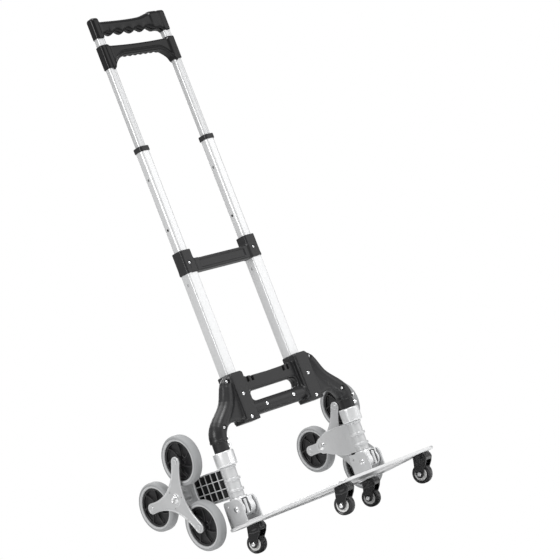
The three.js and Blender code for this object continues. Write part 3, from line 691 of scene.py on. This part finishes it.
# ------------------------------------------------------------ telescopic tubes
def leg_tubes():
    for side, s in SIDES:
        x = s * 91.5
        for kind, w, d, r, wall, z0, z1, body, mat, holes in (
            ("outer_tube", 27.0, 26.2, 3.4, 1.2, 5, 360, "frame", ALU, [(294, 3.1)]),
            ("mid_tube", 23.8, 22.4, 6.0, 1.2, 265, 592, "mid_stage", ALU, [(294, 3.0), (413.7, 2.9), (523.4, 2.9)]),
            ("inner_tube", 18.6, 16.6, 4.5, 1.1, 496, 863, "handle_stage", ALU_IN, []),
        ):
            name = f"{kind}_{side}"
            out = rr(w, d, r, x, 19.5, 8)
            if kind == "inner_tube":
                # drawn ridges along the faces
                out2 = []
                for i in range(len(out)):
                    a, b = out[i], out[(i + 1) % len(out)]
                    out2.append(a)
                    L = math.hypot(b[0] - a[0], b[1] - a[1])
                    if L > 4:
                        nx, ny = (b[1] - a[1]) / L, -(b[0] - a[0]) / L
                        for t, k in ((0.24, 0.0), (0.31, -0.6), (0.69, -0.6), (0.76, 0.0)):
                            out2.append((a[0] + (b[0] - a[0]) * t + nx * k, a[1] + (b[1] - a[1]) * t + ny * k))
                out = out2
            cx, cy = x, 19.5
            inn = [(cx + (p[0] - cx) * (1 - 2 * wall / w), cy + (p[1] - cy) * (1 - 2 * wall / d)) for p in out]
            zs = [z0, z0 + 0.4] + [z0 + (z1 - z0) * k / 8 for k in range(1, 8)] + [z1 - 0.4, z1]
            me = tube_mesh(name + "_drawn", out, inn, zs)
            ob = bpy.data.objects.new("t", me)
            bpy.context.scene.collection.objects.link(ob)
            for hz, hr in holes:
                cutter = lathe("c", [(0, x - w / 2 - 3), (hr, x - w / 2 - 3), (hr, x - w / 2 + 3), (0, x - w / 2 + 3)], 24, "x", (0, 19.5, hz))
                drill(ob, cutter)
            me = ob.data.copy()
            bpy.data.objects.remove(ob)
            put(name + "_drawn", me, mat, body, COL, nodes=(name,), sharp=28)


leg_tubes()

# -------------------------------------------------------------- middle collar
def collar(x, y, z):
    a = abs(x)
    bar = ext(rect2(y - 18.5, z - 330.3, 12, 14.3, 3), a, -200, 91.5, 1)
    # long recess in the bar's front
    rec = sbox(a, y, z, (0, 6.3, 330.3), (64, 2.0, 8.5), 2)
    bar = smax(bar, -rec, 1.2)
    sag = sbox(a, y, z, (0, 18.5, 347.0), (64, 20, 3.2), 2.6)
    bar = smax(bar, -sag, 2)
    sl = ext(rect2(a - 91.5, y - 19.5, 15.2, 14.8, 4.8), z, 316, 365, 1.8)
    band = ext(rect2(a - 91.5, y - 19.5, 15.5, 15.1, 5), z, 317, 323, 1.0)
    d = smin(smin(bar, sl, 5), band, 1)
    d = smax(d, -ext(rect2(a - 91.5, y - 19.5, 13.8, 13.5, 3.8), z, 200, 360.3, 0.4), 0.5)
    d = smax(d, -ext(rect2(a - 91.5, y - 19.5, 12.2, 11.5, 6), z, 300, 400, 0.4), 0.5)
    return smax(d, -rod(a - 91.5, z - 337, y, 3.6, -20, 6.2, 0.4), 0.5)


cast("middle_collar_moulded", collar, (-109, 3, 315), (109, 36, 366), 0.9, BLACK, "frame", COL, nodes=("middle_collar",))
for side, s in SIDES:
    screw(f"collar_screw_{side}", (s * 91.5, 6.0, 337), "frame", COL, scale=0.8)


def bush(x, y, z):
    d = ext(rect2(x - 91.5, y - 19.5, 13.5, 12.8, 6), z, 583.5, 594.5, 1.6)
    d = smax(d, -ext(rect2(x - 91.5, y - 19.5, 12.2, 11.5, 6), z, 560, 592.3, 0.3), 0.4)
    return smax(d, -ext(rect2(x - 91.5, y - 19.5, 9.6, 8.6, 4.5), z, 560, 600, 0.3), 0.4)


for side, s in SIDES:
    cast(f"mid_bushing_moulded_{side}", bush, (77, 6, 582), (106, 33, 596), 0.6, BLACK, "mid_stage", side_m(s, COL), nodes=(f"mid_bushing_{side}",))

# ------------------------------------------------------------ yoke and handle
def yoke(x, y, z):
    a = abs(x)
    top = 815.2 + 2.4 * (a / 82.0) ** 2
    low = 793.2 - 0.018 * np.maximum(a - 46, 0) ** 2
    low = low + 0.9 * np.cos(x * 2 * math.pi / 14.5) * np.clip((64 - a) / 8, 0, 1) * np.clip((y - 15) / 4, 0, 1)
    mid, half = (top + low) / 2, (top - low) / 2
    d = rect2(y - 19.5, z - mid, 9.5, half, 5.0)
    # rolled lip along the front's lower edge, a groove over it
    lip = ln(y - 12.4, z - low - 3.2) - 3.7
    d = smin(d, lip, 0.9)
    d = smax(d, -(ln(y - 9.4, z - low - 8.6) - 1.7), 0.8)
    d = smax(d, a - 88, 1)
    sl = ext(rect2(a - 91.5, y - 19.5, 11.2, 10.8, 5.5), z, 768.3, 819.8, 2.4)
    d = smin(d, sl, 6)
    return smax(d, -ext(rect2(a - 91.5, y - 19.5, 9.6, 8.6, 4.6), z, 700, 900, 0.3), 0.5)


cast("release_yoke_moulded", yoke, (-104, 7, 766), (104, 32, 822), 0.85, GRIP, "release_yoke", COL, nodes=("release_yoke",))


def handle(x, y, z):
    top = 872.0 + 7.4 / (1 + np.exp(-(x - 42) / 7.0)) - 1.4 * np.exp(-(((x + 20) / 50.0) ** 2))
    low = 843.2 + 2.0 * np.cos((x - 12) * 2 * math.pi / 29.0)
    low = low - 6.5 * np.clip((x - 50) / 30.0, 0, 1) ** 1.5 - 4.0 * np.clip((-x - 62) / 20.0, 0, 1) ** 2
    mid, half = (top + low) / 2, (top - low) / 2
    wave = np.cos((x - 12) * 2 * math.pi / 29.0) * np.clip((860 - z) / 9.0, 0, 1) * (abs(x) < 64)
    d = rect2(y - 19.5, z - mid, 10.4, half, 9.0) + 0.7 * wave
    block = sbox(x, y, z, (68, 19.5, 860), (13, 10.9, 19.6), 5.5)
    d = smin(smax(d, abs(x) - 86, 1), block, 5)
    cap = ext(rect2(abs(x) - 91.5, y - 19.5, 11.0, 11.0, 7.5), z, 832.5, 880.4, 6.0)
    d = smin(d, cap, 3.5)
    # fine ribs on the back of the grip
    rib = 0.35 * np.cos(x * 2 * math.pi / 4.2) * (abs(x) < 62) * (y > 24)
    d = d + np.maximum(rib, 0)
    return smax(d, -ext(rect2(abs(x) - 91.5, y - 19.5, 9.6, 8.6, 4.6), z, 700, 863.3, 0.3), 0.5)


cast("top_handle_moulded", handle, (-104, 7, 831), (104, 32, 882), 0.85, GRIP, "handle_stage", COL, nodes=("top_handle",))

# ------------------------------------------------------- posts and their rings
for side, s in SIDES:
    x = s * 184.5
    # bright turned ring with a fluted strip
    z0, z1 = -73.5, -44.0
    prof = [(8.3, z0), (19.9, z0), (20.7, z0 + 0.5), (21.1, z0 + 1.4), (21.2, z0 + 3), (20.6, z0 + 3.6), (20.6, z0 + 4.4), (21.2, z0 + 5), (21.3, z1 - 4), (21.0, z1 - 1.4), (20.4, z1 - 0.4), (19.6, z1), (8.3, z1)]
    put(f"post_ring_{side}", lathe("r", prof, 96, "z", (x, 7, 0)), BARREL, "frame", nodes=(f"post_collar_{side}",))

    def post(px, y, z):
        pin = rod(px - 184.5, y - 7, z, 8.0, -140.5, -21.6, 0.8)
        fl = rod(px - 184.5, y - 7, z, 18.0, -140.5, -136.9, 0.8)
        blk = ext(smin(poly2(y, z, [(-14, -159), (20, -159), (20, -167), (6, -167), (6, -166), (-14, -160)]), np.minimum(rect2(y - 3, z + 150, 17, 10, 3), ln(y, z + 159.3) - 17), 2), px - 184.5, -16.5, 16.5, 1.6)
        blk = smin(blk, fl, 1.5)
        # open slot down the front with a bright link bar in it
        slot = sbox(px, y, z, (184.5 + 4, -14, -156), (7.5, 6.5, 15), 1.5)
        blk = smax(blk, -slot, 0.8)
        link = rod(px - 188.5, y + 12.5, z, 3.4, -172, -143, 1.0)
        d = smin(smin(pin, blk, 0.5), link, 0.4)
        return smax(d, -rod(y, z + 159.3, px, 3.9, 100, 260, 0.3), 0.4)

    ob = cast(f"post_cast_{side}", post, (166, -19, -178), (203, 27, -20), 0.8, [BARREL, SHADE_PAINT], "frame", side_m(s), nodes=(f"post_{side}",))
    # painted shade: faces inside the front slot, except around the link bar, get the near-black second material
    paint(ob, side_m(s), lambda x, y, z: (z > -171) & (z < -141.5) & (x > 181.2) & (x < 195.8) & (y > -13.2) & (y < -6) & (ln(x - 188.5, y + 12.5) > 3.9))
    # fluted strip on the front of the ring
    def strip(px, y, z):
        d = sbox(px, y, z, (186.5, -12.4, -59), (5.2, 2.4, 11.5), 1.0)
        cutv = np.cos((z + px * 0.6) * 2 * math.pi / 2.9)
        return np.maximum(d, (-14.2 + 0.45 * cutv) - y)

    cast(f"post_ring_strip_{side}", strip, (180, -16, -72), (193, -8, -46), 0.5, BARREL, "frame", side_m(s))
    nut = [(0, 14), (4.6, 14), (4.6, 18.4), (4.2, 19.0), (2.9, 19.2), (2.7, 20.8), (1.8, 21.5), (0, 21.6)]
    for k, zz in enumerate((-20.0, -35.5)):
        T = Matrix.Translation((x, 7, zz)) @ Matrix.Rotation(math.radians(-36), 4, "Z")
        put(f"arm_fixing_{k}_{side}", lathe("nut", nut, 28, "x"), CHROME, "frame", LEG @ T, sharp=30)

# ------------------------------------------------------------- swing brackets
OUTLINE = [
    (7, -136.4), (7, -74.0), (60, -74.6), (90, -75.8), (105, -81), (119, -86), (128, -93), (130.8, -102.2),
    (128, -111), (119, -118), (107, -120), (94, -125), (55, -136.4),
]
HUB = (112.5, -102.2)


def pockets(x, y, z):
    """Square pockets between the ribs of the outer face."""
    gy = abs(np.mod(y - 24.5 + 9.0, 18.0) - 9.0)
    gz = abs(np.mod(z + 76.2 + 9.3, 18.6) - 9.3)
    out = np.maximum(poly2(y, z, OUTLINE) + 2.6, 185.5 - x)
    out = np.maximum(out, np.maximum(1.0 - gy, 1.0 - gz))
    out = np.maximum(out, 17.0 - ln(x - 184.5, y - 7))
    return np.maximum(out, 15.0 - ln(y - HUB[0], z - HUB[1]))


def swing(x, y, z):
    arm = ext(poly2(y, z, OUTLINE), x, 177.5, 205.5, 1.2)
    barrel = rod(x - 184.5, y - 7, z, 14.0, -136.6, -73.8, 0.8)
    d = smin(smax(arm, 12 - y, 0.5), barrel, 1.5)
    for zc in (-101, -123):
        d = smin(d, rod(x - 184.5, y - 7, z, 17, zc - 2.6, zc + 2.6, 0.9), 1.2)
    d = smin(d, rod(x - 184.5, y - 7, z, 16.2, -78, -73.8, 0.7), 1)
    d = smin(d, rod(y - HUB[0], z - HUB[1], x, 13, 177.5, 212.2, 1.2), 1.2)
    # faint ribs down the inner face
    rib = 0.30 * np.maximum(0, np.cos((y - 20) * 2 * math.pi / 9.0)) ** 6
    d = d - rib * (x < 180) * (y > 24) * (y < 98) * (z > -130) * (z < -80)
    d = smax(d, -pockets(x, y, z), 0.5)
    d = smax(d, -rod(x - 184.5, y - 7, z, 8.3, -160, -50, 0.3), 0.4)
    return smax(d, -rod(y - HUB[0], z - HUB[1], x, 6.3, 150, 260, 0.3), 0.4)


def turned_axle(s):
    c = (0, *HUB)
    prof = [
        (0.0, 172.8), (6.2, 172.8), (7.6, 173.6), (7.8, 176.0), (10.5, 176.1), (10.6, 177.2), (6, 177.2), (6, 251.7), (10.8, 251.7),
        (11.0, 252.2), (10.6, 252.8), (7.9, 252.9), (7.8, 254.8), (7.0, 255.9), (5.0, 256.2), (3.6, 255.2), (0, 255.0),
    ]
    return lathe("axle", prof, 40, "x", c)


SWINGN = nets(swing, (165.5, -11, -138), (214, 134, -72.5), 0.8, 1)
for side, s in SIDES:
    ob = put(f"swing_bracket_cast_{side}", mesh_of("sw", *SWINGN), [CAST, SHADE_PAINT], f"swing_{side}", side_m(s), nodes=(f"swing_bracket_{side}",), sharp=50)
    # painted shade: faces in the pockets of the outer face get the near-black second material
    paint(ob, side_m(s), lambda x, y, z: (x > 184.6) & (x < 203.6) & (ln(x - 184.5, y - 7) > 17.8) & (pockets(x, y, z) < 0.45))
    put(f"hub_bolt_{side}", turned_axle(s), CHROME, f"swing_{side}", side_m(s), nodes=(f"hub_axle_{side}",))

# -------------------------------------------------------------------- spiders
STAR = [(-math.cos(math.radians(a)), math.sin(math.radians(a))) for a in (62.2, 182.2, -57.8)]
NAMES = ("top", "rear", "low")


def star_outline(tip=11.0):
    """Outline of the three arms: round tips joined by concave curves."""
    out = []
    for i, (cy, cz) in enumerate(STAR):
        ang = math.atan2(cz, cy)
        ny, nz = STAR[(i + 1) % 3]
        sgn = math.copysign(1, cy * nz - cz * ny)
        for k in range(9):
            a = ang + sgn * math.radians(-90 + 22.5 * k)
            out.append((HUB[0] + 78.6 * cy + tip * math.cos(a), HUB[1] + 78.6 * cz + tip * math.sin(a)))
        e1 = out[-1]
        a2 = math.atan2(nz, ny) - sgn * math.pi / 2
        e2 = (HUB[0] + 78.6 * ny + tip * math.cos(a2), HUB[1] + 78.6 * nz + tip * math.sin(a2))
        by, bz = cy + ny, cz + nz
        n = math.hypot(by, bz)
        c = (HUB[0] + 5 * by / n, HUB[1] + 5 * bz / n)
        for k in range(1, 12):
            t = k / 12
            out.append(tuple((1 - t) ** 2 * e1[m] + 2 * t * (1 - t) * c[m] + t * t * e2[m] for m in (0, 1)))
    return out


STAR_LINE = star_outline()


def spider_outer(x, y, z):
    s2 = poly2(y, z, STAR_LINE)
    plate = ext(s2, x, 248.4, 250.2, 0.5)
    flange = ext(abs(s2 + 1.2) - 1.2, x, 247.8, 251.7, 0.7)
    d = smin(plate, flange, 0.8)
    d = smin(d, rod(y - HUB[0], z - HUB[1], x, 13.5, 248.2, 251.4, 0.6), 0.8)
    for cy, cz in STAR:
        py, pz = HUB[0] + 78.6 * cy, HUB[1] + 78.6 * cz
        d = np.minimum(d, rod(y - py, z - pz, x, 4.0, 217.5, 250, 0.5))
        d = smin(d, rod(y - py, z - pz, x, 5.4, 249, 252.8, 1.2), 0.4)
        hy, hz = HUB[0] - 19.5 * cy, HUB[1] - 19.5 * cz
        d = smax(d, -rod(y - hy, z - hz, x, 1.5, 240, 260, 0.2), 0.3)
    return smax(d, -rod(y - HUB[0], z - HUB[1], x, 6.4, 200, 300, 0.2), 0.3)


def spider_inner(x, y, z):
    s2 = poly2(y, z, STAR_LINE)
    d = smin(ext(s2, x, 214.4, 216.4, 0.5), ext(abs(s2 + 1.2) - 1.2, x, 213.9, 217.2, 0.7), 0.8)
    d = smin(d, rod(y - HUB[0], z - HUB[1], x, 11, 214, 247.4, 0.6), 1)
    for cy, cz in STAR:
        py, pz = HUB[0] + 78.6 * cy, HUB[1] + 78.6 * cz
        d = smin(d, rod(y - py, z - pz, x, 5.2, 212.9, 216, 0.9), 0.4)
    return smax(d, -rod(y - HUB[0], z - HUB[1], x, 6.4, 200, 300, 0.2), 0.3)


SO = nets(spider_outer, (216, 60, -182), (254, 205, -20), 0.95, 1)
SI = nets(spider_inner, (211, 60, -182), (249, 205, -20), 0.95, 1)
for side, s in SIDES:
    put(f"spider_outer_pressed_{side}", mesh_of("so", *SO), SPIDER, f"stair_set_{side}", side_m(s), nodes=(f"spider_outer_{side}",), sharp=50)
    put(f"spider_inner_pressed_{side}", mesh_of("si", *SI), SPIDER, f"stair_set_{side}", side_m(s), nodes=(f"spider_inner_{side}",), sharp=50)

# ---------------------------------------------------------------- stair wheels
def rim_sdf(x, y, z):
    r = ln(y, z)
    t = np.arctan2(z, y)
    ring = ext(abs(r - 37.8) - 2.1, x, -7.5, 7.5, 0.8)
    web = ext(r - 38.5, x, -2.2, 2.2, 0.5)
    hub = ext(r - 11.5, x, -14, 14, 1.2)
    d = smin(smin(ring, web, 1.5), hub, 2.5)
    k = 7
    ph = (t + 0.016 * (r - 12)) * k / (2 * math.pi)
    w = (ph - np.floor(ph) - 0.5) * (2 * math.pi / k) * r
    spoke = ext(abs(w) - 1.5, x, -6.4, 6.4, 0.8)
    spoke = smax(spoke, r - 38.5, 0.5)
    spoke = smax(spoke, 8 - r, 0.5)
    d = smin(d, spoke, 1.2)
    return smax(d, 4.4 - r, 0.3)


RIMN = nets(rim_sdf, (-15, -41, -41), (15, 41, 41), 1.0, 1)


def tyre_prof():
    """Profile of a stair tyre: radius, offset. The first stretch is the side ring."""
    side = [(40.3, 8.6), (41.2, 9.8), (43.2, 10.6), (44.3, 10.5), (44.7, 10.0), (45.3, 10.0), (45.8, 10.6), (47.4, 10.4), (49.2, 9.2), (50.4, 7.4), (50.9, 5.2), (51.0, 2.5)]
    tread = [(51.0, 0.0)]
    other = [(r, -a) for r, a in reversed(side)]
    return side + tread + other


for side, s in SIDES:
    for (cy, cz), nm in zip(STAR, NAMES):
        c = Matrix.Translation((232.6, HUB[0] + 78.6 * cy, HUB[1] + 78.6 * cz))
        me = lathe("tyre", tyre_prof(), 96, "x")
        ob = put(f"tyre_{nm}_{side}_rubber", me, [TYRE, TYRE_EDGE], f"wheel_{nm}_{side}", side_m(s) @ c, nodes=(f"tyre_{nm}_{side}",))
        paint(ob, side_m(s) @ c, lambda x, y, z: (abs(x) > 9.2) & (ln(y, z) < 44.6))
        put(f"rim_{nm}_{side}_moulded", mesh_of("rim", *RIMN), RIM, f"wheel_{nm}_{side}", side_m(s) @ c, nodes=(f"rim_{nm}_{side}",), sharp=50)

# ------------------------------------------------------------- hinge brackets
HB_LEAN = math.tan(LEAN)


def hinge(x, y, z):
    zp = (63.1 + 0.3 - 252.6) / math.cos(LEAN) - HB_LEAN * y
    out = [(-21, -200), (33, -200), (33, -146), (31.5, -141.5), (27, -139.6), (-11, -139.6), (-17, -143), (-20.4, -150)]
    p2 = poly2(y, z, out)
    a = abs(x - 184.5)
    ear = ext(p2, a, 18.9, 21.5, 0.7)
    base = ext(p2, x - 184.5, -21, 21, 0.7)
    base = smax(base, z - zp - 3.0, 0.4)
    d = smin(ear, base, 2.0)
    d = smin(d, ext(ln(y, z + 159.3) - 7.5, a, 18.9, 22.2, 0.5), 0.6)
    d = smax(d, -ext(ln(y, z + 159.3) - 3.7, a, 10, 30, 0.2), 0.3)
    # lightening hole behind the pin
    d = smax(d, -ext(ln(y - 22, z + 150) - 2.2, a, 10, 30, 0.2), 0.3)
    return smax(d, zp - z, 0.4)


def pin_mesh():
    return lathe("pin", [(0, 160.4), (3.6, 160.5), (5.2, 161.3), (5.8, 162.6), (3.4, 162.7), (3.4, 206.3), (5.8, 206.4), (5.2, 207.7), (3.6, 208.5), (0, 208.6)], 32, "x", (0, 0, -159.3))


for side, s in SIDES:
    cast(f"hinge_bracket_pressed_{side}", hinge, (161, -23, -194), (208, 35, -138), 0.8, CAST, "toe_plate", side_m(s), nodes=(f"hinge_bracket_{side}",))
    put(f"hinge_pin_turned_{side}", pin_mesh(), CHROME, "toe_plate", side_m(s), nodes=(f"hinge_pin_{side}",))

# ------------------------------------------------------------------ toe plate
RIMLINE = [(-198, 52), (-216, 44), (-226, 30), (-227, 16), (-141, -206), (-135, -214), (-124, -218), (124, -218), (135, -214), (141, -206), (227, 16), (226, 30), (216, 44), (198, 52)]
PANEL = [(-186, -46), (-128, -192), (-118, -200), (118, -200), (128, -192), (186, -46)]


def inward(pts, k):
    """Convex outline, counter-clockwise, moved inwards by k."""
    out = []
    n = len(pts)
    for i in range(n):
        (px, py), (qx, qy), (rx, ry) = pts[i - 1], pts[i], pts[(i + 1) % n]
        a = Vector((qx - px, qy - py)).normalized()
        b = Vector((rx - qx, ry - qy)).normalized()
        na, nb = Vector((-a.y, a.x)), Vector((-b.y, b.x))
        m = (na + nb) / max(1 + na.dot(nb), 0.2)
        out.append((qx + m.x * k, qy + m.y * k))
    return out


def sheet(name, line, prof):
    """Closed sheet of one outline: rings (inset, height) and flat ends."""
    bm = bmesh.new()
    rings = [[bm.verts.new((*p, z)) for p in inward(line, k)] for k, z in prof]
    n = len(line)
    for a, b in zip(rings, rings[1:]):
        for i in range(n):
            j = (i + 1) % n
            bm.faces.new((a[i], a[j], b[j], b[i]))
    bm.faces.new(rings[0])
    bm.faces.new(rings[-1][::-1])
    bmesh.ops.triangulate(bm, faces=[f for f in bm.faces if len(f.verts) > 4])
    return bm_mesh(name, bm)


EDGE = chaikin(RIMLINE[::1], 3)
RISE = [(9, 62.7), (5.0, 62.7), (4.2, 62.95), (3.4, 63.1), (1.2, 63.1), (0.4, 62.85), (0.05, 62.3), (0.0, 61.6), (0.0, 58.2), (0.25, 57.5), (0.8, 57.15), (1.6, 57.15), (2.2, 57.5), (2.4, 58.2), (2.5, 60.0), (3.1, 60.7), (4.0, 60.95), (9, 60.95)]
put("toe_plate_pressed", sheet("toe", EDGE, RISE), PLATE, "toe_plate", DECK, nodes=("toe_plate",), sharp=40)
me = sheet("panel", chaikin(PANEL, 3), [(2.2, 63.8), (1.5, 63.72), (0.8, 63.45), (0.2, 63.0), (0.0, 62.6), (0.0, 62.0)])
ob = bpy.data.objects.new("t", me)
bpy.context.scene.collection.objects.link(ob)
for gx, gy0, gy1 in ((0, -182, -64), (52, -182, -64), (-52, -182, -64), (100, -176, -64), (-100, -176, -64)):
    R = 11.0
    prof = [(0, gy0 - R)] + [(R * math.sin(t), gy0 - R * math.cos(t)) for t in np.linspace(0.2, math.pi / 2, 12)]
    prof += [(R * math.cos(t), gy1 + R * math.sin(t)) for t in np.linspace(0, math.pi / 2 - 0.2, 12)] + [(0, gy1 + R)]
    drill(ob, lathe("groove", prof, 96, "y", (gx, 0, 63.8 + R - 0.7)))
me = ob.data.copy()
bpy.data.objects.remove(ob)
put("toe_plate_panel_pressed", me, PLATE, "toe_plate", DECK, sharp=12)

# -------------------------------------------------------------------- casters
TURN = math.radians(15.5)


def fork_sdf(x, y, z):
    side = [
        (-10.5, 56.6), (-13.5, 51), (-14, 45), (-8.5, 36), (-1, 28), (4.5, 20), (8, 14.4), (12, 12.2), (16.5, 12.4), (20, 15), (22, 20), (22, 27),
        (20.5, 35), (17, 46), (14, 56.6),
    ]
    p2 = poly2(y, z, side)
    a = abs(x)
    leg = ext(p2, a, 10.4, 13.5, 1.0)
    hood = ext(p2, x, -13.5, 13.5, 2.8)
    # room for the wheel
    room = ext(ln(y - 14.5, z - 20) - 21.6, x, -10.4, 10.4, 0.5)
    hood = smax(hood, -room, 0.6)
    hood = smax(hood, 40.5 - z + np.maximum(y - 4, 0) * 0.25, 1.0)
    d = smin(leg, hood, 1.0)
    d = smin(d, rod(x, y, z, 13.5, 46, 56.6, 1.5), 2.5)
    d = smin(d, ext(ln(y - 14.5, z - 20) - 6.0, a, 10.4, 13.9, 0.8), 0.6)
    ax = rod(y - 14.5, z - 20, x, 3.0, -12.6, 12.6, 0.5)
    return np.minimum(smax(d, -rod(x, y, z, 4.5, 30, 70, 0.3), 0.4), ax)


FORKN = nets(fork_sdf, (-15, -16, 10), (15, 24, 58), 0.7, 1)
for place, (cx, cy) in (("rear", (169.8, 19.3)), ("front", (115.6, -194.8))):
    for side, s in SIDES:
        k = f"{place}_{side}"
        base = DECK @ Matrix.Translation((s * cx, cy, 0))
        sw = base @ Matrix.Rotation(TURN, 4, "Z")
        put(f"caster_fork_{k}_moulded", mesh_of("fork", *FORKN), FORK, f"caster_{k}", sw, nodes=(f"caster_fork_{k}",), sharp=50)
        wc = sw @ Matrix.Translation((0, 14.5, 20))
        ty = [(13.6, 7.8), (14.8, 8.8), (16.6, 9.1), (18.4, 8.2), (19.6, 6.2), (20.0, 3.6), (20.0, 0)]
        ty = ty + [(r, -a) for r, a in reversed(ty[:-1])]
        put(f"caster_tyre_{k}_rubber", lathe("ct", ty, 64, "x"), CTYRE, f"caster_wheel_{k}", wc, nodes=(f"caster_tyre_{k}",))
        co = [(3.4, 9.8), (5.4, 9.8), (6.0, 9.2), (7.0, 8.0), (9.6, 7.9), (10.4, 8.8), (12.6, 8.9), (13.4, 8.0), (13.4, 0)]
        co = co + [(r, -a) for r, a in reversed(co[:-1])]
        put(f"caster_core_{k}_moulded", lathe("cc", co, 64, "x"), CORE, f"caster_wheel_{k}", wc, nodes=(f"caster_core_{k}",))
        # bright bolt heads on the axle, on the fork
        for e in (-1, 1):
            head = [(0, e * 13.6), (4.2, e * 13.6), (4.4, e * 14.0), (4.2, e * 15.0), (3.2, e * 15.6), (0, e * 15.7)]
            put(f"caster_bolt_{k}_{'out' if e < 0 else 'in'}", lathe("cb", head, 32, "x"), CHROME, f"caster_{k}", wc)
